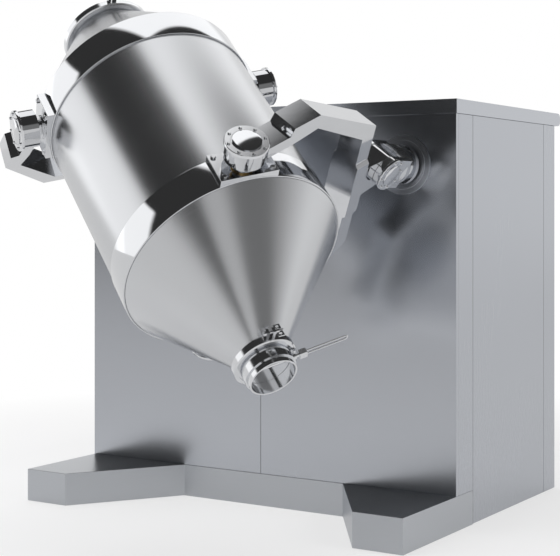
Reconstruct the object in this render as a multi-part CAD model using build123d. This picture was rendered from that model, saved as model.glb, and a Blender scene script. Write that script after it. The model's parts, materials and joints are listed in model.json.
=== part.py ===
from build123d import *
import os
from math import asin, atan2, cos, degrees, pi, radians, sin, sqrt, tan

# A three-dimensional motion mixer. The drum hangs between two forks whose shafts turn in a cabinet.
# Millimetres. X runs to the right along the front, Y into the depth, Z up.
# The origin is on the floor at the middle of the cabinet's footprint.

# Cabinet
cabinet_width = 1800
cabinet_depth = 1016
cabinet_height = 1670
sheet = 4
seam = 0.6
front_column_depth = 153
rear_column_depth = 128
floor_gap = 3
column_lip = 24

# Base with its two forward legs
base_height = 134
base_wall = 6
leg_reach = 442
leg_tip_width = 210
leg_root_width = 504
side_rail = 80
cross_rail_front = -150
cross_rail_back = 50

# Cabinet lid
lid_height = 56
lid_side_overhang = 5
lid_rear_overhang = 60
lid_skin = 5

# Linkage: one fork length, from which the shaft spacing and the drum's trunnion spacing follow
fork_length = 776
shaft_height = 1418
hinge_reach = 228
rest_angle = -35.4

# Drum
band_radius = 405
band_width = 127
band_thickness = 6
weld_gap = 0.3
drum_wall = 4
cone_end = 470
outlet_radius = 88
outlet_offset = 76
outlet_neck = 16
head_end = 1182
port_radius = 162
port_neck = 30

# Clamped joints at the port and at the outlet
flange_thickness = 8
gasket_thickness = 3
port_flange_radius = 174
outlet_flange_radius = 104
clamp_wall = 6
clamp_lip = 7
clamp_gap = 0.3
clamp_bolt_reach = 27
clamp_bolt_radius = 4
wing_reach = 24
lid_dish = 22
lid_travel = 90

# Butterfly valve and outlet ring
valve_bore = 78
valve_body_length = 56
valve_wall = 12
outlet_ring_wall = 6
outlet_ring_length = 21
disc_thickness = 7
disc_gap = 1
stem_radius = 7
stem_clearance = 0.05
stem_angle = 260
handle_hub = 26
handle_length = 150
handle_rod = 6
handle_spacing = 17

# Trunnions
saddle_half_length = 105
saddle_face = 420
saddle_bolt_inset_x = 18
saddle_bolt_inset_y = 16
saddle_bolt_flats = 17
saddle_bolt_head = 7
journal_radius = 30
journal_shoulder = 44
journal_shoulder_height = 5
journal_end = 492
bush_wall = 8
running_clearance = 0.05
seat_clearance = 0.03
housing_inner_face = 445
housing_outer_face = 505
housing_radius = 70
open_journal_radius = 27
open_journal_clearance = 25
cap_radius = 76
cap_thickness = 12
cap_dome_radius = 50
cap_dome_height = 8
cap_screws = 8
screw_radius = 5.5
screw_height = 5

# Forks
fork_depth = 100
arm_outer = 488
arm_step_outer = 518
arm_step_top = 617
arm_step_bottom = 602
arm_shoulder = 480
arm_inner_shoulder = 458
web_outer_half = 299
web_inner_half = 262
web_outer = 140
web_inner = 203
fork_hub_half = 135
fork_hub_raise = 12
tongue_half_width = 58

# Shaft heads and cross pins
pin_radius = 28
cheek_inner = 45
cheek_thickness = 27
cheek_half_width = 62
tongue_side_gap = 1
head_neck_start = 112
head_neck_radius = 62
collar_radius = 80
collar_start = 182
collar_length = 22
shaft_radius = 45
shaft_end = 470
hinge_cap_radius = 68
hinge_cap_thickness = 10
hinge_cap_dome_radius = 44
hinge_cap_dome_height = 8
hinge_cap_screws = 8

# Front face rings round the shafts
ring_outer = 117
ring_step = 97
ring_hole = 48
ring_thickness = 9
panel_hole = 86

# Bearing frame, housings and bearings
wall_thickness = 12
front_wall = 40
rear_wall = 420
wall_side_gap = 30
rear_wall_bottom = 1180
post_size = 40
bearing_outer = 75
bearing_length = 34
housing_flange_radius = 118
housing_flange = 14
housing_barrel = 95

# Chain drive
chain_pitch = 31.75
roller_radius = 9.5
large_teeth = 38
small_teeth = 17
chain_links = 82
sprocket_position = 300
tooth_width = 17
tooth_height = 8
chain_plate_half = 13
chain_plate = 4
chain_plate_gap = 0.8
sprocket_hub_radius = 70
sprocket_hub_length = 40

# Geared motor
gear_unit_width = 230
gear_unit_length = 190
gear_unit_start = 340
output_radius = 30
worm_offset = 95
motor_radius = 92
motor_length = 320
motor_neck_length = 46
motor_fins = 16
stand_plate = 12

# Rear panel with its service door
door_width = 1100
door_height = 1100
door_sill = 260
door_gap = 3
door_flange = 20
hinge_barrel_radius = 6
hinge_pin_radius = 3
hinge_barrel_length = 36
hinge_barrel_gap = 0.6
hinge_stand_off = 9
hinge_web = 4
hinge_count = 3
pull_length = 160
pull_height = 38
pull_rod = 6

# Places that follow from the sizes above
front = -cabinet_depth / 2
rear = cabinet_depth / 2
half_width = cabinet_width / 2
shaft_spacing = sqrt(3) * fork_length
shaft_x = shaft_spacing / 2
shell_radius = band_radius - band_thickness - weld_gap
lid_bottom = cabinet_height - lid_height
tongue_half_depth = cheek_inner - tongue_side_gap
cheek_outer = cheek_inner + cheek_thickness


def direction(angle_from_x):
    """Unit vector of a cross pin in the XZ plane."""
    return Vector(cos(radians(angle_from_x)), 0, sin(radians(angle_from_x)))


class Linkage:
    """The rest position of the six-pivot closed linkage, from the drive shaft's angle."""

    def __init__(self, angle):
        self.right_angle = angle
        self.left_angle = degrees(atan2(2, tan(radians(angle))))
        self.right_pin = direction(self.right_angle)
        self.left_pin = direction(self.left_angle)
        swing = sqrt(3) / 2
        self.right_fork = self.fork_direction(self.right_pin, -asin(swing * sin(radians(self.right_angle))))
        self.left_fork = self.fork_direction(self.left_pin, asin(swing * sin(radians(self.left_angle))))
        self.right_hinge = Vector(shaft_x, front - hinge_reach, shaft_height)
        self.left_hinge = Vector(-shaft_x, front - hinge_reach, shaft_height)
        self.lower_centre = self.right_hinge + self.right_fork * fork_length
        self.upper_centre = self.left_hinge + self.left_fork * fork_length
        self.drum_axis = (self.upper_centre - self.lower_centre).normalized()
        self.lower_trunnion = self.right_pin.cross(self.right_fork)
        self.upper_trunnion = self.left_pin.cross(self.left_fork)

    @staticmethod
    def fork_direction(pin, angle):
        """Direction of a fork that has swung by an angle about its pin from pointing to the front."""
        forward = Vector(0, -1, 0)
        return forward * cos(angle) + pin.cross(forward) * sin(angle)

    def drum_frame(self):
        return Plane(origin=self.lower_centre, x_dir=self.lower_trunnion, z_dir=self.drum_axis)

    def fork_frame(self, hinge, trunnion, fork):
        return Plane(origin=hinge, x_dir=trunnion, z_dir=trunnion.cross(fork))

    def head_frame(self, hinge, pin):
        return Plane(origin=hinge, x_dir=pin, z_dir=Vector(0, 1, 0))


linkage = Linkage(rest_angle)
drum_frame = linkage.drum_frame()
right_fork_frame = linkage.fork_frame(linkage.right_hinge, linkage.lower_trunnion, linkage.right_fork)
left_fork_frame = linkage.fork_frame(linkage.left_hinge, linkage.upper_trunnion, linkage.left_fork)
right_head_frame = linkage.head_frame(linkage.right_hinge, linkage.right_pin)
left_head_frame = linkage.head_frame(linkage.left_hinge, linkage.left_pin)


def block(x_range, y_range, z_range):
    """A box between two corners."""
    size = [high - low for low, high in (x_range, y_range, z_range)]
    middle = [(low + high) / 2 for low, high in (x_range, y_range, z_range)]
    return Pos(*middle) * Box(*size)


def disc(radius, low, high):
    """A solid disc on the local Z axis."""
    return Pos(0, 0, low) * Cylinder(radius, high - low, align=(Align.CENTER, Align.CENTER, Align.MIN))


def tube(outer, inner, low, high):
    """A ring on the local Z axis."""
    return disc(outer, low, high) - disc(inner, low, high)


def turned(points):
    """A solid turned about the local Z axis from its half profile of radius and height."""
    profile = Plane.XZ * make_face(Polyline(*points, close=True))
    return revolve(profile, Axis.Z)


def prism(points, low, high):
    """An outline in the local XY plane, raised from one height to another."""
    return Pos(0, 0, low) * extrude(make_face(Polyline(*points, close=True)), high - low)


def placed(frame, shapes):
    """Moves shapes from a sub-assembly's own frame to where it stands."""
    return [frame.location * shape for shape in shapes]


def around(count, radius, shape, start=0):
    """Copies of a shape standing on a circle round the local Z axis."""
    step = 360 / count
    return [Rot(0, 0, start + step * i) * Pos(radius, 0, 0) * shape for i in range(count)]


def trunnion_side(sign):
    """Local frame of one trunnion: Z points outwards along the fork's own X axis."""
    return Plane(origin=(0, fork_length, 0), x_dir=(0, 0, -sign), z_dir=(sign, 0, 0))


# Cabinet


def base_outline(inset):
    """The base's outline seen from above, moved inwards by an inset."""
    tip = half_width - leg_tip_width
    root = half_width - leg_root_width
    run = tip - root
    slant = sqrt(run ** 2 + leg_reach ** 2)
    tip_x = tip + inset * (slant - run) / leg_reach
    root_x = root + inset * (slant - run) / leg_reach
    side = half_width - inset
    leg_front = front - leg_reach + inset
    middle_front = front + inset
    back = front + front_column_depth - inset
    right = [(root_x, middle_front), (tip_x, leg_front), (side, leg_front), (side, back)]
    left = [(-x, y) for x, y in reversed(right)]
    return right + left


def base_frame():
    outline = base_outline(0)
    shell = prism(outline, 0, base_height)
    shell -= prism(base_outline(base_wall), base_wall, base_height - base_wall)
    rail_side = half_width - sheet - seam
    rail_back = rear - sheet - seam
    start = front + front_column_depth
    for side in (-1, 1):
        flat = sorted((side * (rail_side - side_rail), side * rail_side))
        wall = sorted((side * (rail_side - base_wall), side * rail_side))
        shell += block(flat, (start, rail_back), (0, base_wall))
        shell += block(wall, (start, rail_back), (0, base_height))
    shell += block((-rail_side, rail_side), (rail_back - side_rail, rail_back), (0, base_wall))
    shell += block((-rail_side, rail_side), (rail_back - base_wall, rail_back), (0, base_height))
    shell += block((-rail_side, rail_side), (cross_rail_front, cross_rail_back), (0, base_height))
    hollow_side = rail_side - side_rail
    hollow_y = (cross_rail_front + base_wall, cross_rail_back - base_wall)
    shell -= block((-hollow_side, hollow_side), hollow_y, (base_wall, base_height - base_wall))
    return [shell]


def front_panel(side):
    """One half of the front, with a hole for its shaft and a return flange along its outer edge."""
    edges = sorted((side * seam / 2, side * half_width))
    panel = block(edges, (front, front + sheet), (base_height + seam, lid_bottom - seam))
    flange_edges = sorted((side * half_width, side * (half_width - sheet)))
    panel += block(flange_edges, (front, front + 22), (base_height + seam, lid_bottom - seam))
    hole = Plane(origin=(side * shaft_x, front, shaft_height), z_dir=(0, 1, 0)).location
    return [panel - hole * disc(panel_hole, -1, sheet + 1)]


def front_columns():
    """Corner strips between the front panels and the side panels, standing on the base."""
    solids = []
    for side in (-1, 1):
        outer = half_width * side
        inner = (half_width - sheet) * side
        low, high = base_height + seam, lid_bottom - seam
        skin = block(sorted((outer, inner)), (front + 22 + seam, front + front_column_depth - seam), (low, high))
        back = front + front_column_depth - seam
        lip = block(sorted((outer, outer - side * column_lip)), (back - sheet, back), (low, high))
        solids.append(skin + lip)
    return solids


def side_panel(side):
    """A tray-shaped side panel that hangs down to just above the floor."""
    outer = half_width * side
    inner = outer - side * sheet
    lip = outer - side * column_lip
    y_range = (front + front_column_depth, rear - rear_column_depth - seam)
    z_range = (floor_gap, lid_bottom - seam)
    panel = block(sorted((outer, inner)), y_range, z_range)
    top = (z_range[1] - sheet, z_range[1])
    panel += block(sorted((outer, lip)), y_range, top)
    return [panel]


def rear_columns():
    """Angle-section corner posts at the back."""
    solids = []
    for side in (-1, 1):
        outer = half_width * side
        z_range = (floor_gap, lid_bottom - seam)
        skin = block(sorted((outer, outer - side * sheet)), (rear - rear_column_depth, rear), z_range)
        back = block(sorted((outer, outer - side * 90)), (rear - sheet, rear), z_range)
        solids.append(skin + back)
    return solids


def rear_panel():
    edge = half_width - 90 - seam
    panel = block((-edge, edge), (rear - sheet, rear), (floor_gap, lid_bottom - seam))
    half = door_width / 2
    panel -= block((-half, half), (rear - sheet - 1, rear + 1), (door_sill, door_sill + door_height))
    return [panel] + hinge_barrels(fixed=True)


def hinge_places():
    """Heights of the door hinges, evenly spread."""
    spread = door_height - 240
    return [door_sill + 120 + spread * i / (hinge_count - 1) for i in range(hinge_count)]


hinge_axis_x = -door_width / 2
hinge_axis_y = rear + hinge_stand_off


def hinge_barrels(fixed):
    """Knuckles of the door hinges: the two outer ones on the panel, the middle one on the door."""
    solids = []
    pitch = hinge_barrel_length + hinge_barrel_gap
    reach = -26 if fixed else 26
    leaf_x = sorted((hinge_axis_x, hinge_axis_x + reach))
    web_x = sorted((hinge_axis_x, hinge_axis_x + (-hinge_web if fixed else hinge_web)))
    for height in hinge_places():
        for piece in (-1, 1) if fixed else (0,):
            low = height + piece * pitch - hinge_barrel_length / 2
            span = (low, low + hinge_barrel_length)
            axis = Pos(hinge_axis_x, hinge_axis_y, 0)
            knuckle = axis * disc(hinge_barrel_radius, *span)
            knuckle += block(leaf_x, (rear, rear + 4), span)
            knuckle += block(web_x, (rear, hinge_axis_y), span)
            solids.append(knuckle - axis * disc(hinge_pin_radius + running_clearance, span[0] - 1, span[1] + 1))
    return solids


def door_hinge_pins():
    reach = 1.5 * hinge_barrel_length + hinge_barrel_gap
    return [Pos(hinge_axis_x, hinge_axis_y, height) * disc(hinge_pin_radius, -reach, reach)
            for height in hinge_places()]


def service_door():
    """A tray door in the rear panel's opening."""
    half = door_width / 2 - door_gap
    low, high = door_sill + door_gap, door_sill + door_height - door_gap
    door = block((-half, half), (rear - door_flange, rear), (low, high))
    door -= block(
        (-half + sheet, half - sheet), (rear - door_flange - 1, rear - sheet), (low + sheet, high - sheet)
    )
    return [door] + hinge_barrels(fixed=False)


def door_handle():
    """Upright bow handle on the door's free side."""
    x = door_width / 2 - 60
    middle = door_sill + door_height / 2
    low, high = middle - pull_length / 2, middle + pull_length / 2
    out = rear + pull_height
    path = FilletPolyline((x, rear, low), (x, out, low), (x, out, high), (x, rear, high), radius=14)
    return [sweep(Plane(origin=(x, rear, low), z_dir=(0, 1, 0)) * Circle(pull_rod), path=path)]


def top_lid():
    """Folded lid with a rounded nose along the back."""
    x = half_width + lid_side_overhang
    y_range = (front - lid_side_overhang, rear + lid_rear_overhang)
    lid = block((-x, x), y_range, (lid_bottom, cabinet_height))
    back_edges = lid.edges().filter_by(Axis.X).group_by(Axis.Y)[-1]
    lid = fillet(back_edges, lid_height / 2 - 0.5)
    inner = block(
        (-x + lid_skin, x - lid_skin),
        (y_range[0] + lid_skin, rear + seam),
        (lid_bottom, cabinet_height - lid_skin),
    )
    return [lid - inner]


def shaft_rings():
    """Stepped rings on the front face round both shafts."""
    profile = [
        (ring_hole, -ring_thickness),
        (ring_step, -ring_thickness),
        (ring_step, -ring_thickness + 3),
        (ring_outer, -ring_thickness + 3),
        (ring_outer, 0),
        (ring_hole, 0),
    ]
    ring = turned(profile)
    return [shaft_line(side).location * ring for side in (-1, 1)]


def shaft_line(side):
    """Frame on a shaft's axis at the front face, Z into the cabinet."""
    return Plane(origin=(side * shaft_x, front, shaft_height), x_dir=(1, 0, 0), z_dir=(0, 1, 0))


# Bearing frame and drive


def bearing_frame():
    """Two walls that carry the shafts, tied by beams, on legs that stand on the base."""
    side = half_width - wall_side_gap
    top = lid_bottom - 20
    wall_front = front + front_wall
    wall_rear = front + rear_wall
    frame = block((-side, side), (wall_front, wall_front + wall_thickness), (base_height, top))
    frame += block((-side, side), (wall_rear, wall_rear + wall_thickness), (rear_wall_bottom, top))
    post_back = wall_rear + wall_thickness
    back_post = rear - 60
    for x in (-side, side - post_size):
        width = (x, x + post_size)
        frame += block(width, (wall_front, back_post), (top - post_size, top))
        frame += block(width, (post_back - post_size, post_back), (base_height, top))
        frame += block(width, (back_post - post_size, back_post), (base_wall, top))
    frame -= block((-350, 350), (wall_front - 1, wall_front + wall_thickness + 1), (300, 1150))
    for side_sign in (-1, 1):
        line = shaft_line(side_sign).location
        bore = housing_barrel + seat_clearance
        frame -= line * disc(bore, front_wall - 1, front_wall + wall_thickness + 1)
        frame -= line * disc(bore, rear_wall - 1, rear_wall + wall_thickness + 1)
    return [frame]


def bearing_housings():
    """Flanged housings, one in each wall on each shaft."""
    solids = []
    for side in (-1, 1):
        for start in (front_wall + wall_thickness, rear_wall + wall_thickness):
            depth = bearing_length + 6
            flange = tube(housing_flange_radius, bearing_outer, start, start + housing_flange)
            barrel = tube(housing_barrel, bearing_outer, start - wall_thickness, start + depth - 6)
            lip = tube(bearing_outer + 1, shaft_radius + 4, start - wall_thickness, start - wall_thickness + 6)
            solids.append(shaft_line(side).location * (flange + barrel + lip))
    return solids


def shaft_bearings():
    """Bearings as plain rings, a close fit in the housings and a running fit on the shafts."""
    outer = bearing_outer - seat_clearance
    inner = shaft_radius + running_clearance
    solids = []
    for side in (-1, 1):
        for start in (front_wall + 6.3, rear_wall + 6.3):
            solids.append(shaft_line(side).location * tube(outer, inner, start, start + bearing_length))
    return solids


def pitch_radius(teeth):
    return chain_pitch / 2 / sin(pi / teeth)


def centre_distance():
    """Distance between the two sprockets for a whole number of links."""
    straight = chain_links - (large_teeth + small_teeth) / 2
    spread = (large_teeth - small_teeth) / (2 * pi)
    return chain_pitch / 4 * (straight + sqrt(straight ** 2 - 8 * spread ** 2))


large_pitch = pitch_radius(large_teeth)
small_pitch = pitch_radius(small_teeth)
sprocket_distance = centre_distance()
gear_height = shaft_height - sprocket_distance
large_frame = shaft_line(1)
small_frame = Plane(origin=(shaft_x, front, gear_height), x_dir=(1, 0, 0), z_dir=(0, 1, 0))


def sprocket(teeth, bore, hub_radius, hub_length):
    """A toothed wheel whose tooth gaps are cut by the chain's rollers."""
    radius = pitch_radius(teeth)
    low = sprocket_position - tooth_width / 2
    high = sprocket_position + tooth_width / 2
    wheel = disc(radius + tooth_height, low, high)
    gaps = around(teeth, radius, disc(roller_radius + 0.4, low - 1, high + 1))
    wheel -= gaps
    wheel += disc(hub_radius, low, low + hub_length)
    return wheel - disc(bore, low - 1, low + hub_length + 1)


def large_sprocket():
    wheel = sprocket(large_teeth, shaft_radius + seat_clearance, sprocket_hub_radius, sprocket_hub_length)
    middle = (sprocket_hub_radius + large_pitch) / 2
    holes = around(6, middle, disc(36, sprocket_position - tooth_width, sprocket_position + tooth_width))
    return placed(large_frame, [wheel - holes])


def small_sprocket():
    wheel = sprocket(small_teeth, output_radius + seat_clearance, output_radius + 18, sprocket_hub_length - 8)
    return placed(small_frame, [wheel])


def chain_outline(offset):
    """The chain's closed path round both sprockets, moved outwards by an offset, in the large wheel's frame."""
    lean = asin((large_pitch - small_pitch) / sprocket_distance)
    large = large_pitch + offset
    small = small_pitch + offset
    right_top = (large * cos(lean), large * sin(lean))
    right_bottom = (small * cos(lean), sprocket_distance + small * sin(lean))
    left_top = (-right_top[0], right_top[1])
    left_bottom = (-right_bottom[0], right_bottom[1])
    top = ThreePointArc(left_top, (0, -large), right_top)
    right = Line(right_top, right_bottom)
    bottom = ThreePointArc(right_bottom, (0, sprocket_distance + small), left_bottom)
    left = Line(left_bottom, left_top)
    return make_face([top, right, bottom, left]), right_top, right_bottom


def free_distance(pitch):
    """How far past the last meshing tooth a straight stretch's roller is clear of the tooth tips."""
    tip = pitch + tooth_height + roller_radius + 2
    return sqrt(tip ** 2 - pitch ** 2)


def drive_chain():
    """Roller chain as its two rows of plates, joined by the rollers of the straight stretches."""
    outer = chain_outline(chain_plate_half)[0]
    inner = chain_outline(-chain_plate_half)[0]
    loop = outer - inner
    gap = tooth_width / 2 + chain_plate_gap
    low = sprocket_position - gap - chain_plate
    high = sprocket_position + gap
    chain = Pos(0, 0, low) * extrude(loop, chain_plate) + Pos(0, 0, high) * extrude(loop, chain_plate)
    start, end = chain_outline(0)[1:]
    span = sqrt((end[0] - start[0]) ** 2 + (end[1] - start[1]) ** 2)
    first = free_distance(large_pitch)
    count = int((span - first - free_distance(small_pitch)) / (2 * chain_pitch))
    for i in range(count + 1):
        share = (first + i * 2 * chain_pitch) / span
        x = start[0] + (end[0] - start[0]) * share
        y = start[1] + (end[1] - start[1]) * share
        for side in (-1, 1):
            chain += Pos(side * x, y, 0) * disc(roller_radius, low + 1, high + 1)
    return placed(large_frame, [chain])


upright_small = Plane(origin=(shaft_x, front, gear_height), x_dir=(-1, 0, 0), z_dir=(0, 1, 0))
motor_line = Plane(
    origin=(gear_unit_width / 2, -worm_offset, gear_unit_start + gear_unit_length / 2),
    x_dir=(0, 0, -1),
    z_dir=(1, 0, 0),
)


def gear_unit():
    """Worm gear housing with its output boss, cooling ribs and a foot plate."""
    half = gear_unit_width / 2
    start, end = gear_unit_start, gear_unit_start + gear_unit_length
    low = -worm_offset - 95
    body = prism([(-half, low), (half, low), (half, half), (-half, half)], start, end)
    body = chamfer(body.edges().filter_by(Axis.Z), 24)
    for i in range(5):
        y = -half + 30 + i * (gear_unit_width - 60) / 4
        body += block((-half - 12, -half + 1), (y - 4, y + 4), (start + 20, end - 20))
    body += disc(output_radius + 28, start - 10, start)
    body += block((-half - 25, half + 25), (low - 14, low), (start, end))
    body += motor_line.location * disc(motor_radius - 12, -1, motor_neck_length)
    body -= disc(output_radius + running_clearance, start - 11, end - 40)
    return placed(upright_small, [body])


def gear_output_shaft():
    """Output shaft with the key end that carries the small sprocket."""
    return placed(small_frame, [disc(output_radius, sprocket_position - 18, gear_unit_start + 60)])


def motor():
    """Flanged motor with cooling fins, terminal box and fan cover."""
    start = motor_neck_length
    back = start + motor_length
    body = disc(motor_radius, start, start + 14) + disc(motor_radius - 18, start, back)
    for i in range(motor_fins):
        fin = block((0, motor_radius - 4), (-1.8, 1.8), (start + 14, back - 70))
        body += Rot(0, 0, 360 * i / motor_fins) * fin
    body += disc(motor_radius - 2, back - 70, back)
    body += block((-42, 42), (motor_radius - 20, motor_radius + 46), (start + 60, start + 160))
    return placed(upright_small, [motor_line.location * body])


def gear_stand():
    """Welded table under the gear unit."""
    top = gear_height - worm_offset - 95 - 14
    x_range = (shaft_x - gear_unit_width / 2 - 25, shaft_x + gear_unit_width / 2 + 25)
    y_range = (front + gear_unit_start - 20, front + gear_unit_start + gear_unit_length + 20)
    stand = block(x_range, y_range, (top - stand_plate, top))
    for x, inward in zip(x_range, (stand_plate, -stand_plate)):
        stand += block(sorted((x, x + inward)), y_range, (base_height, top))
    return [stand]


# Shafts with their heads


def shaft_with_head():
    """Shaft, collar, neck and the two cheeks that hold the cross pin; local Z into the cabinet."""
    cheek_outline = prism([(cheek_inner, -cheek_half_width), (cheek_outer, -cheek_half_width),
                           (cheek_outer, cheek_half_width), (cheek_inner, cheek_half_width)],
                          0, head_neck_start + 10)
    round_end = Plane(origin=(cheek_inner, 0, 0), z_dir=(1, 0, 0)).location
    cheek = cheek_outline + round_end * disc(cheek_half_width, 0, cheek_thickness)
    head = cheek + mirror(cheek, Plane.YZ)
    bridge = disc(cheek_outer + 8, head_neck_start, head_neck_start + 26)
    head += bridge
    head += disc(head_neck_radius, head_neck_start, collar_start + 1)
    head += disc(collar_radius, collar_start, collar_start + collar_length)
    head += disc(shaft_radius, collar_start, hinge_reach + shaft_end)
    across = Plane(origin=(-cheek_outer, 0, 0), z_dir=(1, 0, 0)).location
    head -= across * disc(pin_radius + seat_clearance, -1, 2 * cheek_outer + 1)
    return [head]


def hinge_pin():
    across = Plane(origin=(-cheek_outer, 0, 0), z_dir=(1, 0, 0)).location
    return [across * disc(pin_radius, 0, 2 * cheek_outer)]


def cap(radius, thickness, dome_radius, dome_height):
    """A flanged bearing cap with a raised crowned centre, on the local Z axis from zero."""
    top = thickness + dome_height
    crown = 0.6 * dome_height
    ball = (dome_radius ** 2 + crown ** 2) / (2 * crown)
    half_angle = asin(dome_radius / ball) / 2
    middle = (ball * sin(half_angle), top - ball * (1 - cos(half_angle)))
    edge = (dome_radius, top - crown)
    outline = Polyline((0, top), (0, 0), (radius, 0), (radius, thickness - 2), (radius - 2, thickness),
                       (dome_radius + 3, thickness), (dome_radius + 3, thickness - 2),
                       (dome_radius, thickness - 2), edge)
    return revolve(Plane.XZ * make_face([outline, ThreePointArc(edge, middle, (0, top))]), Axis.Z)


def screw(radius, height):
    """A round-headed screw standing on its seat."""
    head = disc(radius, 0, height)
    return chamfer(head.edges().group_by(Axis.Z)[-1], radius * 0.3)


def hinge_cap_places():
    right = Plane(origin=(cheek_outer, 0, 0), z_dir=(1, 0, 0))
    left = Plane(origin=(-cheek_outer, 0, 0), z_dir=(-1, 0, 0))
    return (right, left)


def hinge_caps():
    shape = cap(hinge_cap_radius, hinge_cap_thickness, hinge_cap_dome_radius, hinge_cap_dome_height)
    return [place.location * shape for place in hinge_cap_places()]


def hinge_cap_screw_group():
    circle = (hinge_cap_radius + hinge_cap_dome_radius + 2) / 2
    ring = around(hinge_cap_screws, circle, screw(screw_radius, screw_height), 22.5)
    lifted = [Pos(0, 0, hinge_cap_thickness) * item for item in ring]
    return [place.location * item for place in hinge_cap_places() for item in lifted]


# Forks


def fork_profile():
    """Half outline of a fork seen square to its flat side: trunnion side on the right, hinge at the origin."""
    housing_side = fork_length - housing_radius + 12
    outer = [
        (0, web_outer),
        (web_outer_half, web_outer),
        (arm_step_outer, arm_shoulder),
        (arm_step_outer, arm_step_bottom),
        (arm_outer, arm_step_top),
        (arm_outer, housing_side),
    ]
    inner = [
        (housing_inner_face, housing_side),
        (housing_inner_face, arm_step_bottom),
        (arm_inner_shoulder, arm_shoulder),
        (web_inner_half, web_inner),
        (0, web_inner),
    ]
    return outer + inner


def fork(bore_radius):
    """Y-shaped fork: web, two cranked arms with bearing housings, thicker hub block and hinge tongue."""
    half = prism(fork_profile(), -fork_depth / 2, fork_depth / 2)
    body = half + mirror(half, Plane.YZ)
    hub_depth = fork_depth / 2 + fork_hub_raise
    hub = prism([(-fork_hub_half, web_outer), (fork_hub_half, web_outer),
                 (fork_hub_half, web_inner), (-fork_hub_half, web_inner)], -hub_depth, hub_depth)
    hub = chamfer(hub.edges().filter_by(Axis.Y), fork_hub_raise - 0.5)
    body += hub
    reach = web_outer + 1
    tongue = prism([(-tongue_half_width, 0), (tongue_half_width, 0),
                    (tongue_half_width + 14, reach), (-tongue_half_width - 14, reach)],
                   -tongue_half_depth, tongue_half_depth)
    tongue += disc(tongue_half_width, -tongue_half_depth, tongue_half_depth)
    body += tongue
    body -= disc(pin_radius + bush_wall + seat_clearance, -tongue_half_depth - 1, tongue_half_depth + 1)
    for sign in (-1, 1):
        side = trunnion_side(sign).location
        body += side * disc(housing_radius, housing_inner_face, housing_outer_face)
    for sign in (-1, 1):
        side = trunnion_side(sign).location
        body -= side * disc(bore_radius, housing_inner_face - 1, housing_outer_face + 1)
    return [body]


def fork_hub_bushes():
    """Two bushes in the fork's tongue, with a grease gap between them."""
    outer = pin_radius + bush_wall
    inner = pin_radius + running_clearance
    return [tube(outer, inner, 8, tongue_half_depth), tube(outer, inner, -tongue_half_depth, -8)]


def trunnion_caps():
    shape = Pos(0, 0, housing_outer_face) * cap(cap_radius, cap_thickness, cap_dome_radius, cap_dome_height)
    return [trunnion_side(sign).location * shape for sign in (-1, 1)]


def trunnion_cap_screw_group():
    circle = (cap_radius + cap_dome_radius + 2) / 2
    ring = around(cap_screws, circle, screw(screw_radius, screw_height), 22.5)
    top = housing_outer_face + cap_thickness
    return [trunnion_side(sign).location * Pos(0, 0, top) * item for sign in (-1, 1) for item in ring]


def trunnion_bushes():
    outer = journal_radius + bush_wall
    bush = tube(outer, journal_radius + running_clearance, housing_inner_face + 1, housing_outer_face - 5)
    return [trunnion_side(sign).location * bush for sign in (-1, 1)]


# Drum


drum_bottom = -band_width / 2
drum_top = fork_length + band_width / 2
outlet_face = -cone_end - outlet_neck
port_face = head_end + port_neck


def drum_cylinder():
    return tube(shell_radius, shell_radius - drum_wall, drum_bottom, drum_top)


def drum_head():
    """Conical head with the charging port's neck and flange."""
    port_inner = port_radius - drum_wall
    flange_low = port_face - flange_thickness
    return turned([
        (shell_radius, drum_top), (port_radius, head_end), (port_radius, flange_low),
        (port_flange_radius, flange_low), (port_flange_radius, port_face), (port_inner, port_face),
        (port_inner, head_end), (shell_radius - drum_wall, drum_top),
    ])


def cone_body(inset):
    """Slanted cone from the cylinder's lower edge to the outlet, moved inwards by an inset."""
    wide = Pos(0, 0, drum_bottom) * Circle(shell_radius - inset)
    narrow = Pos(0, outlet_offset, -cone_end) * Circle(outlet_radius - inset)
    return loft([wide.face(), narrow.face()])


def discharge_cone():
    """Eccentric cone with the outlet's neck and flange."""
    inner = outlet_radius - drum_wall
    neck = tube(outlet_radius, inner, outlet_face, -cone_end)
    neck += tube(outlet_flange_radius, inner, outlet_face, outlet_face + flange_thickness)
    return cone_body(0) - cone_body(drum_wall) + Pos(0, outlet_offset, 0) * neck


def drum_shell():
    """The three rolled sheets of the drum, welded edge to edge under the bands."""
    return placed(drum_frame, [drum_cylinder(), drum_head(), discharge_cone()])


def band(centre):
    low, high = centre - band_width / 2, centre + band_width / 2
    inner = shell_radius + weld_gap
    ring = tube(band_radius, inner, low, high)
    outer_edges = ring.edges().filter_by(GeomType.CIRCLE).sort_by(SortBy.RADIUS)[-2:]
    return placed(drum_frame, [chamfer(outer_edges, 1.5)])


def saddle_frames(centre, axis_angle):
    """Local frames of one pair of trunnions: Z outwards, X round the drum."""
    frames = []
    for turn in (0, 180):
        angle = radians(axis_angle + turn)
        outward = (cos(angle), sin(angle), 0)
        frames.append(Plane(origin=(0, 0, centre), x_dir=(-sin(angle), cos(angle), 0), z_dir=outward))
    return frames


def trunnions(centre, axis_angle, radius):
    """Saddle plates fitted to the band, each with its journal."""
    half_band = band_width / 2
    plate = block((-saddle_half_length, saddle_half_length), (-half_band, half_band), (band_radius - 60, saddle_face))
    around_drum = Plane(origin=(0, -half_band - 1, 0), z_dir=(0, 1, 0)).location
    plate -= around_drum * disc(band_radius + weld_gap, 0, band_width + 2)
    plate += disc(journal_shoulder, saddle_face, saddle_face + journal_shoulder_height)
    plate += disc(radius, saddle_face, journal_end)
    end_edges = plate.edges().group_by(Axis.Z)[-1]
    plate = chamfer(end_edges, 2)
    return placed(drum_frame, [frame.location * plate for frame in saddle_frames(centre, axis_angle)])


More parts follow.
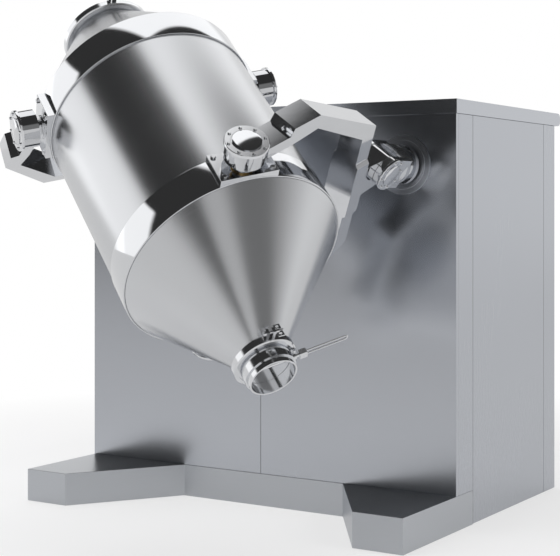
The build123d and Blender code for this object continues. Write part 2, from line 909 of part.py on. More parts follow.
def saddle_bolts(centre, axis_angle):
    """Hexagon-headed bolts at the corners of both saddles."""
    x = saddle_half_length - saddle_bolt_inset_x
    y = band_width / 2 - saddle_bolt_inset_y
    solids = []
    for frame in saddle_frames(centre, axis_angle):
        for sx in (-1, 1):
            for sy in (-1, 1):
                head = extrude(RegularPolygon(saddle_bolt_flats / 2, 6, major_radius=False), saddle_bolt_head)
                solids.append(frame.location * Pos(sx * x, sy * y, saddle_face) * head)
    return placed(drum_frame, solids)


valve_top = outlet_face - gasket_thickness
valve_bottom = valve_top - valve_body_length
valve_centre = (valve_top + valve_bottom) / 2
port_lid_seat = port_face + gasket_thickness
outlet_location = drum_frame.location * Pos(0, outlet_offset, 0)
handle_start = outlet_flange_radius + clamp_gap + clamp_wall + 2


def port_gasket():
    return [drum_frame.location * tube(port_flange_radius - 2, port_radius - drum_wall, port_face, port_lid_seat)]


def outlet_gasket():
    return [outlet_location * tube(outlet_flange_radius - 2, outlet_radius - drum_wall, valve_top, outlet_face)]


def charging_lid():
    """Dished lid with a flange and a bow handle."""
    flange = disc(port_flange_radius, port_lid_seat, port_lid_seat + flange_thickness)
    seat = port_lid_seat + flange_thickness
    dish = turned([
        (0, seat - 1), (port_radius - 8, seat - 1), (port_radius - 26, seat + lid_dish * 0.7),
        (port_radius - 60, seat + lid_dish), (0, seat + lid_dish),
    ])
    hollow = turned([
        (0, port_lid_seat), (port_radius - 14, port_lid_seat), (port_radius - 32, seat + lid_dish * 0.7 - 4),
        (port_radius - 62, seat + lid_dish - 4), (0, seat + lid_dish - 4),
    ])
    lid = flange + dish - hollow
    path = FilletPolyline((-55, 0, seat + lid_dish - 2), (-55, 0, seat + lid_dish + 34),
                          (55, 0, seat + lid_dish + 34), (55, 0, seat + lid_dish - 2), radius=16)
    bow = sweep(Plane(origin=(-55, 0, seat + lid_dish - 2), z_dir=(0, 0, 1)) * Circle(6), path=path)
    return placed(drum_frame, [lid + bow])


def clamp_halves(flange_radius, low, high, lip):
    """Two half hoops with a groove that holds a pair of flanges, hinge eyes and bolt lugs."""
    inner = flange_radius + clamp_gap
    outer = inner + clamp_wall
    hoop = tube(outer, inner - lip, low - clamp_wall, high + clamp_wall)
    hoop -= tube(inner, 1, low - clamp_gap, high + clamp_gap)
    hoop = chamfer(hoop.edges().filter_by(GeomType.CIRCLE).sort_by(SortBy.RADIUS)[-2:], 4)
    middle = (low + high) / 2
    bolt_x = outer + clamp_bolt_reach
    hoop += block((outer - 3, outer + 20), (-13, 13), (middle - 8, middle + 8))
    hoop += block((-bolt_x - 11, -outer + 3), (-16, 16), (middle - 10, middle + 10))
    hoop -= block((-bolt_x - 12, -outer - 1), (-6, 6), (middle - 11, middle + 11))
    hoop -= clamp_bolt_frame(flange_radius, low, high).location * disc(clamp_bolt_radius + 0.3, -20, 20)
    hoop -= block((-bolt_x - 20, bolt_x + 20), (-0.3, 0.3), (low - 30, high + 30))
    return hoop.solids()


port_clamp_low = port_face - flange_thickness
port_clamp_high = port_lid_seat + flange_thickness
outlet_clamp_low = valve_top - flange_thickness
outlet_clamp_high = outlet_face + flange_thickness


def clamp_bolt_frame(flange_radius, low, high):
    """Frame of a clamp's bolt: Z along the bolt, X along the clamp's own axis."""
    x = -(flange_radius + clamp_gap + clamp_wall + clamp_bolt_reach)
    return Plane(origin=(x, 0, (low + high) / 2), x_dir=(0, 0, 1), z_dir=(0, -1, 0))


def clamp_bolt():
    """Bolt through both lugs, its head on one side and room for the wing nut on the other."""
    return disc(clamp_bolt_radius, -24, 46) + disc(2 * clamp_bolt_radius, -23, -16.3)


def wing_nut():
    """Wing nut with two looped wings."""
    body = disc(9, 16.3, 30)
    for side in (-1, 1):
        wing = block(sorted((side * 5, side * wing_reach)), (-2.5, 2.5), (20, 42))
        wing -= block(sorted((side * 11, side * (wing_reach - 5))), (-3, 3), (25, 37))
        body += wing
    return body - disc(clamp_bolt_radius + running_clearance, 16, 50)


port_bolt_frame = clamp_bolt_frame(port_flange_radius, port_clamp_low, port_clamp_high)
outlet_bolt_frame = clamp_bolt_frame(outlet_flange_radius, outlet_clamp_low, outlet_clamp_high)


def valve_body():
    """Flanged round body, bored for the stem, with the outlet ring below it."""
    outer = valve_bore + valve_wall
    body = disc(outer, valve_bottom, valve_top)
    body += disc(outlet_flange_radius, valve_top - flange_thickness, valve_top)
    body += disc(valve_bore + outlet_ring_wall, valve_bottom - outlet_ring_length, valve_bottom)
    stem_line = stem_frame.location
    body += stem_line * disc(stem_radius + 5, 0, outer + 10)
    body -= disc(valve_bore, valve_bottom - outlet_ring_length - 1, valve_top + 1)
    body -= stem_line * disc(stem_radius + stem_clearance, 0, outer + 11)
    return [outlet_location * body]


stem_frame = Plane(
    origin=(0, 0, valve_centre),
    x_dir=(0, 0, 1),
    z_dir=(cos(radians(stem_angle)), sin(radians(stem_angle)), 0),
)


def valve_disc():
    """Disc that closes the bore, on a stem that comes out through the body's boss."""
    plate = disc(valve_bore - disc_gap, valve_centre - disc_thickness / 2, valve_centre + disc_thickness / 2)
    spine = stem_frame.location * disc(stem_radius, -valve_bore + 8, handle_start + handle_hub)
    return [outlet_location * (plate + spine)]


def valve_handle():
    """Square hub on the stem with a long narrow loop of rod."""
    start = handle_start
    half = handle_hub / 2
    hub = block((-half, half), (-half, half), (start, start + handle_hub))
    hub = chamfer(hub.edges().filter_by(Axis.Z), 4)
    hub -= disc(stem_radius + seat_clearance, start - 1, start + handle_hub + 1)
    gap = handle_spacing / 2
    low, high = start + handle_hub - 2, start + handle_hub + handle_length
    path = FilletPolyline((0, -gap, low), (0, -gap, high), (0, gap, high), (0, gap, low), radius=gap * 0.9)
    loop = sweep(Plane(origin=(0, -gap, low), z_dir=(0, 0, 1)) * Circle(handle_rod / 2), path=path)
    return [outlet_location * stem_frame.location * (hub + loop)]


def save(name, shapes):
    """Writes one sub-part, as one solid or as a group of separate solids."""
    solids = [solid for shape in shapes for solid in shape.solids()]
    export_step(Compound(children=solids), f"parts/{name}.step")


def build_all():
    """Every sub-part by name."""
    upper = fork_length
    return {
        "base_frame": base_frame(),
        "front_panel_left": front_panel(-1),
        "front_panel_right": front_panel(1),
        "front_columns": front_columns(),
        "side_panel_left": side_panel(-1),
        "side_panel_right": side_panel(1),
        "rear_columns": rear_columns(),
        "rear_panel": rear_panel(),
        "service_door": service_door(),
        "door_handle": door_handle(),
        "door_hinge_pins": door_hinge_pins(),
        "top_lid": top_lid(),
        "shaft_rings": shaft_rings(),
        "bearing_frame": bearing_frame(),
        "bearing_housings": bearing_housings(),
        "shaft_bearings": shaft_bearings(),
        "large_sprocket": large_sprocket(),
        "small_sprocket": small_sprocket(),
        "drive_chain": drive_chain(),
        "gear_unit": gear_unit(),
        "gear_output_shaft": gear_output_shaft(),
        "gear_stand": gear_stand(),
        "motor": motor(),
        "drive_shaft": placed(right_head_frame, shaft_with_head()),
        "right_hinge_pin": placed(right_head_frame, hinge_pin()),
        "right_hinge_caps": placed(right_head_frame, hinge_caps()),
        "right_hinge_cap_screws": placed(right_head_frame, hinge_cap_screw_group()),
        "driven_shaft": placed(left_head_frame, shaft_with_head()),
        "left_hinge_pin": placed(left_head_frame, hinge_pin()),
        "left_hinge_caps": placed(left_head_frame, hinge_caps()),
        "left_hinge_cap_screws": placed(left_head_frame, hinge_cap_screw_group()),
        "right_fork": placed(right_fork_frame, fork(journal_radius + bush_wall + seat_clearance)),
        "right_hub_bushes": placed(right_fork_frame, fork_hub_bushes()),
        "lower_trunnion_bushes": placed(right_fork_frame, trunnion_bushes()),
        "lower_trunnion_caps": placed(right_fork_frame, trunnion_caps()),
        "lower_trunnion_cap_screws": placed(right_fork_frame, trunnion_cap_screw_group()),
        "left_fork": placed(left_fork_frame, fork(open_journal_radius + open_journal_clearance)),
        "left_hub_bushes": placed(left_fork_frame, fork_hub_bushes()),
        "upper_trunnion_caps": placed(left_fork_frame, trunnion_caps()),
        "upper_trunnion_cap_screws": placed(left_fork_frame, trunnion_cap_screw_group()),
        "drum_shell": drum_shell(),
        "lower_band": band(0),
        "upper_band": band(upper),
        "lower_trunnions": trunnions(0, 0, journal_radius),
        "upper_trunnions": trunnions(upper, 90, open_journal_radius),
        "lower_trunnion_bolts": saddle_bolts(0, 0),
        "upper_trunnion_bolts": saddle_bolts(upper, 90),
        "port_gasket": port_gasket(),
        "charging_lid": charging_lid(),
        "port_clamp": placed(drum_frame, clamp_halves(port_flange_radius, port_clamp_low, port_clamp_high, 0)),
        "port_clamp_bolt": placed(drum_frame, [port_bolt_frame.location * clamp_bolt()]),
        "port_wing_nut": placed(drum_frame, [port_bolt_frame.location * wing_nut()]),
        "outlet_gasket": outlet_gasket(),
        "outlet_clamp": [
            outlet_location * half
            for half in clamp_halves(outlet_flange_radius, outlet_clamp_low, outlet_clamp_high, clamp_lip)
        ],
        "outlet_clamp_bolt": [outlet_location * outlet_bolt_frame.location * clamp_bolt()],
        "outlet_wing_nut": [outlet_location * outlet_bolt_frame.location * wing_nut()],
        "valve_body": valve_body(),
        "valve_disc": valve_disc(),
        "valve_handle": valve_handle(),
    }


def main():
    os.makedirs("parts", exist_ok=True)
    for name, shapes in build_all().items():
        save(name, shapes)


main()
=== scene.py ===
"""Looks of a drum mixer whose cone-ended drum tumbles between two crossed forks on a cabinet.

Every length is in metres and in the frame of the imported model. The CAD nodes give the shapes of the plain
fabricated pieces, which are copied, cleaned and edge-broken here. The turned, rolled and repeated pieces are
made new at a finer step.
"""

from __future__ import annotations

import json
import logging
import math
from dataclasses import dataclass, field
from enum import Enum
from typing import Any, Callable, Iterable, Sequence

import bmesh
import bpy
from mathutils import Matrix, Vector

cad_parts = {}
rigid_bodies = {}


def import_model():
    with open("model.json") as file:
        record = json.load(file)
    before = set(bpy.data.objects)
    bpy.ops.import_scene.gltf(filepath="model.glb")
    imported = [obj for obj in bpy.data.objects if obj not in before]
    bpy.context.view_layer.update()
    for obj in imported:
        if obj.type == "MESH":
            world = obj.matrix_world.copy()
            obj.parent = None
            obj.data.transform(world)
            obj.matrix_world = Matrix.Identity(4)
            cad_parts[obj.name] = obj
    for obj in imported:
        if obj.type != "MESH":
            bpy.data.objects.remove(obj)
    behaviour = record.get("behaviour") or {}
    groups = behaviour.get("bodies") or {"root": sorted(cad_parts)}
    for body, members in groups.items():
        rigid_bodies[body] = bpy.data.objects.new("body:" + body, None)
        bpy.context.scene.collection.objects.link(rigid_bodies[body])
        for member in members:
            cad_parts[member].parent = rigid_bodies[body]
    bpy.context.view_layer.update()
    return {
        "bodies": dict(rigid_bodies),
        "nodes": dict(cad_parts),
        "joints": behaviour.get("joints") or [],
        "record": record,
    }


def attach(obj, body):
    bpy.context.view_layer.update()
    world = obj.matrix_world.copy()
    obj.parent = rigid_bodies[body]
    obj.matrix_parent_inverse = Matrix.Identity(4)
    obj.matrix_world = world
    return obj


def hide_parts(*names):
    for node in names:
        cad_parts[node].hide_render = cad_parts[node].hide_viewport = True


LOG = logging.getLogger("drum_mixer")
Colour = tuple[float, float, float]
Ring = tuple[float, float, float]


# Shader graphs


class Sock:
    """One socket of a shader graph, so that shader maths reads as plain expressions."""

    def __init__(self, graph: "Graph", socket: bpy.types.NodeSocket) -> None:
        """Wraps a node's output socket."""
        self.graph = graph
        self.socket = socket

    def _maths(self, operation: str, first: Any, second: Any) -> "Sock":
        """One Math node on two values."""
        return self.graph.out("ShaderNodeMath", {"operation": operation}, {0: first, 1: second})

    def __add__(self, other: Any) -> "Sock":
        """Sum of two values."""
        return self._maths("ADD", self, other)

    def __radd__(self, other: Any) -> "Sock":
        """Sum with a number on the left."""
        return self._maths("ADD", other, self)

    def __sub__(self, other: Any) -> "Sock":
        """Difference of two values."""
        return self._maths("SUBTRACT", self, other)

    def __rsub__(self, other: Any) -> "Sock":
        """Difference with a number on the left."""
        return self._maths("SUBTRACT", other, self)

    def __mul__(self, other: Any) -> "Sock":
        """Product of two values."""
        return self._maths("MULTIPLY", self, other)

    def __rmul__(self, other: Any) -> "Sock":
        """Product with a number on the left."""
        return self._maths("MULTIPLY", other, self)

    def __truediv__(self, other: Any) -> "Sock":
        """Quotient of two values."""
        return self._maths("DIVIDE", self, other)

    def clamped(self) -> "Sock":
        """The value held between 0 and 1."""
        return self.graph.out("ShaderNodeClamp", {}, {0: self})

    def size(self) -> "Sock":
        """The value without its sign."""
        return self._maths("ABSOLUTE", self, 0.0)

    def above(self, limit: float, blur: float) -> "Sock":
        """A soft step from 0 to 1 about a limit."""
        return ((self - (limit - blur)) / (2 * blur)).clamped()

    def near(self, place: float, half: float) -> "Sock":
        """A narrow line, 1 at a place and 0 beyond a half width."""
        return 1 - ((self - place).size() / half).clamped()


class Graph:
    """A node tree with one way of adding any node."""

    def __init__(self, tree: bpy.types.NodeTree) -> None:
        """Empties the tree."""
        self.tree = tree
        tree.nodes.clear()

    def node(self, kind: str, settings: dict[str, Any], inputs: dict[Any, Any]) -> bpy.types.Node:
        """Adds a node.

        Args:
            kind: The node's type.
            settings: Attributes of the node, set first; "stops" fills a colour ramp.
            inputs: Values or sockets by input name or number.

        Returns:
            The new node.
        """
        made = self.tree.nodes.new(kind)
        for key, value in settings.items():
            if key == "stops":
                ramp = made.color_ramp
                while len(ramp.elements) > 1:
                    ramp.elements.remove(ramp.elements[-1])
                ramp.elements[0].position, ramp.elements[0].color = value[0][0], (*value[0][1], 1)
                for place, colour in value[1:]:
                    ramp.elements.new(place).color = (*colour, 1)
            else:
                setattr(made, key, value)
        for key, value in inputs.items():
            if isinstance(value, Sock):
                self.tree.links.new(value.socket, made.inputs[key])
            else:
                made.inputs[key].default_value = value
        return made

    def out(self, kind: str, settings: dict[str, Any], inputs: dict[Any, Any], output: Any = 0) -> Sock:
        """Adds a node and gives one of its outputs."""
        return Sock(self, self.node(kind, settings, inputs).outputs[output])

    def place(self) -> Sock:
        """The surface point in the object's own coordinates."""
        return self.out("ShaderNodeTexCoord", {}, {}, "Object")

    def part(self, vector: Sock, axis: str) -> Sock:
        """One component of a vector."""
        return self.out("ShaderNodeSeparateXYZ", {}, {0: vector}, axis)

    def along(self, vector: Sock, direction: Sequence[float]) -> Sock:
        """How far a vector reaches in a direction."""
        return self.out("ShaderNodeVectorMath", {"operation": "DOT_PRODUCT"}, {0: vector, 1: tuple(direction)}, "Value")

    def noise(self, vector: Sock, scale: Sequence[float], detail: float = 3.0) -> Sock:
        """A stretched noise, about 0 to 1."""
        stretched = self.out("ShaderNodeMapping", {}, {"Vector": vector, "Scale": tuple(scale)})
        settings = {"noise_dimensions": "3D"}
        return self.out("ShaderNodeTexNoise", settings, {"Vector": stretched, "Scale": 1.0, "Detail": detail}, "Fac")

    def blend(self, share: Any, first: Any, second: Any) -> Sock:
        """A colour between two colours."""
        inputs = {"Factor": share, 6: _rgba(first), 7: _rgba(second)}
        return self.out("ShaderNodeMix", {"data_type": "RGBA"}, inputs, 2)

    def toned(self, colour: Any, tone: Sock) -> Sock:
        """A colour made lighter or darker by a value."""
        grey = self.out("ShaderNodeCombineColor", {}, {0: tone, 1: tone, 2: tone})
        inputs = {"Factor": 1.0, 6: _rgba(colour), 7: grey}
        return self.out("ShaderNodeMix", {"data_type": "RGBA", "blend_type": "MULTIPLY"}, inputs, 2)

    def bump(self, height: Sock, strength: float, distance: float) -> Sock:
        """A normal raised by a height."""
        return self.out("ShaderNodeBump", {}, {"Strength": strength, "Distance": distance, "Height": height})


def _rgba(colour: Any) -> Any:
    """A colour with its alpha, or the socket as it is."""
    return colour if isinstance(colour, Sock) else (*colour, 1.0)


# Finishes


@dataclass(frozen=True)
class Finish:
    """A surface finish: its tone, its polish and how both change over the surface."""

    name: str
    colour: Colour
    roughness: float
    metallic: float = 1.0

    def surface(self, graph: Graph, place: Sock) -> dict[str, Any]:
        """Sockets of the shader that change over the surface."""
        cloud = graph.noise(place, (9, 9, 9))
        return {
            "Base Color": graph.toned(self.colour, 0.94 + 0.12 * cloud),
            "Roughness": (self.roughness - 0.05 + 0.1 * cloud).clamped(),
        }

    def material(self) -> bpy.types.Material:
        """Builds the finish once and gives the same material again later."""
        known = bpy.data.materials.get(self.name)
        if known:
            return known
        made = bpy.data.materials.new(self.name)
        made.use_nodes = True
        graph = Graph(made.node_tree)
        inputs: dict[str, Any] = {"Metallic": self.metallic}
        inputs.update(self.surface(graph, graph.place()))
        shader = graph.out("ShaderNodeBsdfPrincipled", {}, inputs, "BSDF")
        graph.node("ShaderNodeOutputMaterial", {}, {"Surface": shader})
        made.diffuse_color = (*self.colour, 1)
        return made


@dataclass(frozen=True)
class SheetSteel(Finish):
    """Semi-mirror stainless sheet with a fine vertical grain and dark joint lines."""

    grain: tuple[float, float, float] = (900, 900, 9)
    lines_x: tuple[float, ...] = ()
    lines_y: tuple[float, ...] = ()
    lines_z: tuple[float, ...] = ()
    line_half: float = 0.0024

    def surface(self, graph: Graph, place: Sock) -> dict[str, Any]:
        """Grain, faint clouds and the joints between sheets."""
        grain = graph.noise(place, self.grain, 2.0)
        cloud = graph.noise(place, (1.3, 1.3, 1.1), 2.0)
        tone = 0.96 + 0.04 * grain + 0.08 * (cloud - 0.5)
        for axis, lines in (("X", self.lines_x), ("Y", self.lines_y), ("Z", self.lines_z)):
            for line in lines:
                tone = tone * (1 - 0.75 * graph.part(place, axis).near(line, self.line_half))
        return {
            "Base Color": graph.toned(self.colour, tone),
            "Roughness": (self.roughness + 0.08 * (grain - 0.5) + 0.08 * (cloud - 0.5)).clamped(),
            "Normal": graph.bump(grain, 0.012, 0.0004),
        }


@dataclass(frozen=True)
class AxialSteel(Finish):
    """Rolled and polished steel with painted reflection streaks along the drum's own axis, a tone set by the angle
    round it.
    """

    origin: tuple[float, float, float] = (0, 0, 0)
    side: tuple[float, float, float] = (1, 0, 0)
    up: tuple[float, float, float] = (0, 1, 0)
    axis: tuple[float, float, float] = (0, 0, 1)
    # stops: base colour tone by angle round the axis, a painted reflection
    stops: tuple[tuple[float, float], ...] = ((0.0, 1.0), (1.0, 1.0))
    brush: float = 0.05

    def surface(self, graph: Graph, place: Sock) -> dict[str, Any]:
        """Painted reflection streaks by the angle round the axis, and a fine brushing round the drum."""
        local = graph.out("ShaderNodeVectorMath", {"operation": "SUBTRACT"}, {0: place, 1: self.origin})
        across, over = graph.along(local, self.side), graph.along(local, self.up)
        turn = graph.out("ShaderNodeMath", {"operation": "ARCTAN2"}, {0: over, 1: across}) / (2 * math.pi) + 0.5
        # painted reflection: light and dark bands by angle round the axis, multiplied into the base colour
        ramp = [(spot, (tone, tone, tone)) for spot, tone in self.stops]
        painted_reflection_streak = graph.out("ShaderNodeValToRGB", {"stops": ramp}, {0: turn})
        height = graph.along(local, self.axis)
        flat = graph.out("ShaderNodeCombineXYZ", {}, {0: turn * 6, 1: height * 700, 2: 0.0})
        brush = graph.out("ShaderNodeTexNoise", {}, {"Vector": flat, "Scale": 1.0, "Detail": 2.0}, "Fac")
        cloud = graph.noise(place, (2.2, 2.2, 2.2), 2.0)
        tone = 0.95 + self.brush * (brush - 0.5) + 0.1 * (cloud - 0.5)
        coloured = graph.out(
            "ShaderNodeMix", {"data_type": "RGBA", "blend_type": "MULTIPLY"},
            {"Factor": 1.0, 6: graph.toned(self.colour, tone), 7: painted_reflection_streak}, 2,
        )
        return {
            "Base Color": coloured,
            "Roughness": (self.roughness + 0.07 * (brush - 0.5) + 0.05 * (cloud - 0.5)).clamped(),
            "Normal": graph.bump(brush, 0.02, 0.0004),
        }


@dataclass(frozen=True)
class PolishedSteel(Finish):
    """Mirror-polished steel with faint wipe marks."""

    haze: float = 0.04

    def surface(self, graph: Graph, place: Sock) -> dict[str, Any]:
        """Nearly even tone, with the haze of polishing in the roughness."""
        wipe = graph.noise(place, (14, 5, 22), 4.0)
        fine = graph.noise(place, (260, 260, 260), 2.0)
        return {
            "Base Color": graph.toned(self.colour, 0.95 + 0.08 * (wipe - 0.5)),
            "Roughness": (self.roughness + self.haze * wipe + 0.02 * (fine - 0.5)).clamped(),
            "Normal": graph.bump(wipe, 0.012, 0.002),
        }


@dataclass(frozen=True)
class Painted(Finish):
    """Machine paint with a slight orange peel and rubbed patches."""

    metallic: float = 0.0

    def surface(self, graph: Graph, place: Sock) -> dict[str, Any]:
        """Tone, peel and dust."""
        cloud = graph.noise(place, (7, 7, 7), 4.0)
        peel = graph.noise(place, (320, 320, 320), 2.0)
        return {
            "Base Color": graph.toned(self.colour, 0.85 + 0.3 * cloud),
            "Roughness": (self.roughness + 0.2 * (cloud - 0.5)).clamped(),
            "Normal": graph.bump(peel, 0.06, 0.0006),
        }


@dataclass(frozen=True)
class Rubber(Finish):
    """Pale food-grade rubber."""

    metallic: float = 0.0

    def surface(self, graph: Graph, place: Sock) -> dict[str, Any]:
        """A dusty even tone."""
        dust = graph.noise(place, (60, 60, 60), 4.0)
        return {
            "Base Color": graph.toned(self.colour, 0.9 + 0.15 * dust),
            "Roughness": (self.roughness + 0.2 * (dust - 0.5)).clamped(),
            "Normal": graph.bump(dust, 0.05, 0.0005),
        }


# Mesh making


class Edge(Enum):
    """How far a fabricated piece's edges are broken, in metres."""

    SHEET = 0.0008
    FINE = 0.0004
    MACHINED = 0.0012
    FORGED = 0.004
    NONE = 0.0


def link(name: str, mesh: bpy.types.Mesh, finish: Finish) -> bpy.types.Object:
    """Puts a mesh in the scene with its finish."""
    mesh.materials.clear()
    mesh.materials.append(finish.material())
    made = bpy.data.objects.new(name, mesh)
    bpy.context.scene.collection.objects.link(made)
    return made


def smooth(mesh: bpy.types.Mesh, angle: float) -> None:
    """Smooth shading with creases where faces meet at more than an angle in degrees."""
    mesh.shade_smooth()
    mesh.set_sharp_from_angle(angle=math.radians(angle))


def ring_mesh(name: str, rings: Sequence[Ring], frame: Matrix, steps: int, closed: bool = True) -> bpy.types.Mesh:
    """A skin through circles that stand square to one axis.

    Args:
        name: The mesh's name.
        rings: Each ring's height, radius and sideways offset in the frame.
        frame: Where the axis stands.
        steps: How many faces go round.
        closed: Whether the last ring joins the first one, as for a wall with a thickness.

    Returns:
        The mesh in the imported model's frame.
    """
    mesh = bpy.data.meshes.new(name)
    form = bmesh.new()
    loops: list[list[bmesh.types.BMVert]] = []
    for height, radius, offset in rings:
        if radius < 1e-6:
            loops.append([form.verts.new(frame @ Vector((0, offset, height)))])
            continue
        loop = []
        for i in range(steps):
            turn = 2 * math.pi * i / steps
            point = Vector((radius * math.cos(turn), offset + radius * math.sin(turn), height))
            loop.append(form.verts.new(frame @ point))
        loops.append(loop)
    pairs = list(zip(loops, loops[1:])) + ([(loops[-1], loops[0])] if closed else [])
    for low, high in pairs:
        for i in range(steps):
            j = (i + 1) % steps
            if len(low) == 1 and len(high) == 1:
                break
            if len(low) == 1:
                form.faces.new((low[0], high[i], high[j]))
            elif len(high) == 1:
                form.faces.new((low[j], low[i], high[0]))
            else:
                form.faces.new((low[j], low[i], high[i], high[j]))
    bmesh.ops.recalc_face_normals(form, faces=form.faces)
    form.to_mesh(mesh)
    form.free()
    return mesh


def rounded(profile: Sequence[tuple[float, float]], radius: float, steps: int = 3) -> list[tuple[float, float]]:
    """A closed profile with its corners broken.

    Args:
        profile: Corner points.
        radius: How far from each corner the break starts.
        steps: How many points make each break.

    Returns:
        The new closed profile.
    """
    result: list[tuple[float, float]] = []
    count = len(profile)
    for i in range(count):
        here = Vector(profile[i])
        before, after = Vector(profile[i - 1]) - here, Vector(profile[(i + 1) % count]) - here
        reach = min(radius, before.length * 0.45, after.length * 0.45)
        start, end = here + before.normalized() * reach, here + after.normalized() * reach
        for k in range(steps + 1):
            share = k / steps
            spot = start * (1 - share) ** 2 + here * (2 * share * (1 - share)) + end * share ** 2
            result.append((spot.x, spot.y))
    return result


def turned(name: str, profile: Sequence[tuple[float, float]], frame: Matrix, steps: int = 96,
           break_edge: float = 0.0006) -> bpy.types.Mesh:
    """A turned ring from its closed profile of height and radius, with broken edges."""
    points = rounded(profile, break_edge)
    mesh = ring_mesh(name, [(height, radius, 0.0) for height, radius in points], frame, steps)
    smooth(mesh, 50)
    return mesh


def axis_frame(origin: Vector, axis: Vector, side: Vector) -> Matrix:
    """A frame whose Z is an axis and whose X is a side direction square to it."""
    z = axis.normalized()
    x = (side - z * side.dot(z)).normalized()
    y = z.cross(x)
    turn = Matrix((x, y, z)).transposed().to_4x4()
    return Matrix.Translation(origin) @ turn


@dataclass
class Workshop:
    """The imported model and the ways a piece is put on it."""

    frame: dict[str, Any]
    slots: dict[str, str] = field(default_factory=dict)
    home: dict[str, str] = field(default_factory=dict)

    def __post_init__(self) -> None:
        """Reads which slot and which body each node has."""
        record = self.frame["record"]
        self.slots = {item["node"]: item["material_slot"] for item in record["subparts"]}
        for body, nodes in record["behaviour"]["bodies"].items():
            for node in nodes:
                self.home[node] = body

    def joint(self, name: str) -> dict[str, Any]:
        """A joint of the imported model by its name."""
        return next(item for item in self.frame["joints"] if item["name"] == name)

    def fit(self, piece: bpy.types.Object, node: str, *others: str) -> bpy.types.Object:
        """Puts a piece in the place of one or more nodes.

        Args:
            piece: The finished object.
            node: The node that gives the body.
            others: Further nodes that the piece stands for.

        Returns:
            The same object.
        """
        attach(piece, self.home[node])
        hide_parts(node, *others)
        LOG.info("%s for %s", piece.name, node)
        return piece

    def copy(self, node: str, finish: Finish, edge: Edge, crease: float = 32) -> bpy.types.Object:
        """A cleaned copy of a fabricated node, with its edges broken.

        Args:
            node: The node to copy.
            finish: Its finish.
            edge: How far the edges are broken.
            crease: Angle in degrees above which an edge counts as an edge.

        Returns:
            The new object in the node's place.
        """
        mesh = self.frame["nodes"][node].data.copy()
        mesh.name = f"{node}_made"
        form = bmesh.new()
        form.from_mesh(mesh)
        bmesh.ops.remove_doubles(form, verts=form.verts, dist=2e-6)
        bmesh.ops.dissolve_limit(form, angle_limit=math.radians(0.6), verts=form.verts, edges=form.edges)
        form.to_mesh(mesh)
        form.free()
        if mesh.has_custom_normals:
            bpy.context.view_layer.update()
            mesh.attributes.remove(mesh.attributes["custom_normal"])
        smooth(mesh, crease)
        piece = link(f"{node}_made", mesh, finish)
        if edge is not Edge.NONE:
            bevel = piece.modifiers.new("edge_break", "BEVEL")
            bevel.limit_method = "ANGLE"
            bevel.angle_limit = math.radians(crease)
            bevel.width = edge.value
            bevel.segments = 2
            bevel.use_clamp_overlap = True
            bevel.harden_normals = True
        return self.fit(piece, node)


# Repeated pieces by Geometry Nodes


class HeadKind(Enum):
    """Kinds of fastener heads."""

    ROUND = 24
    HEXAGON = 6


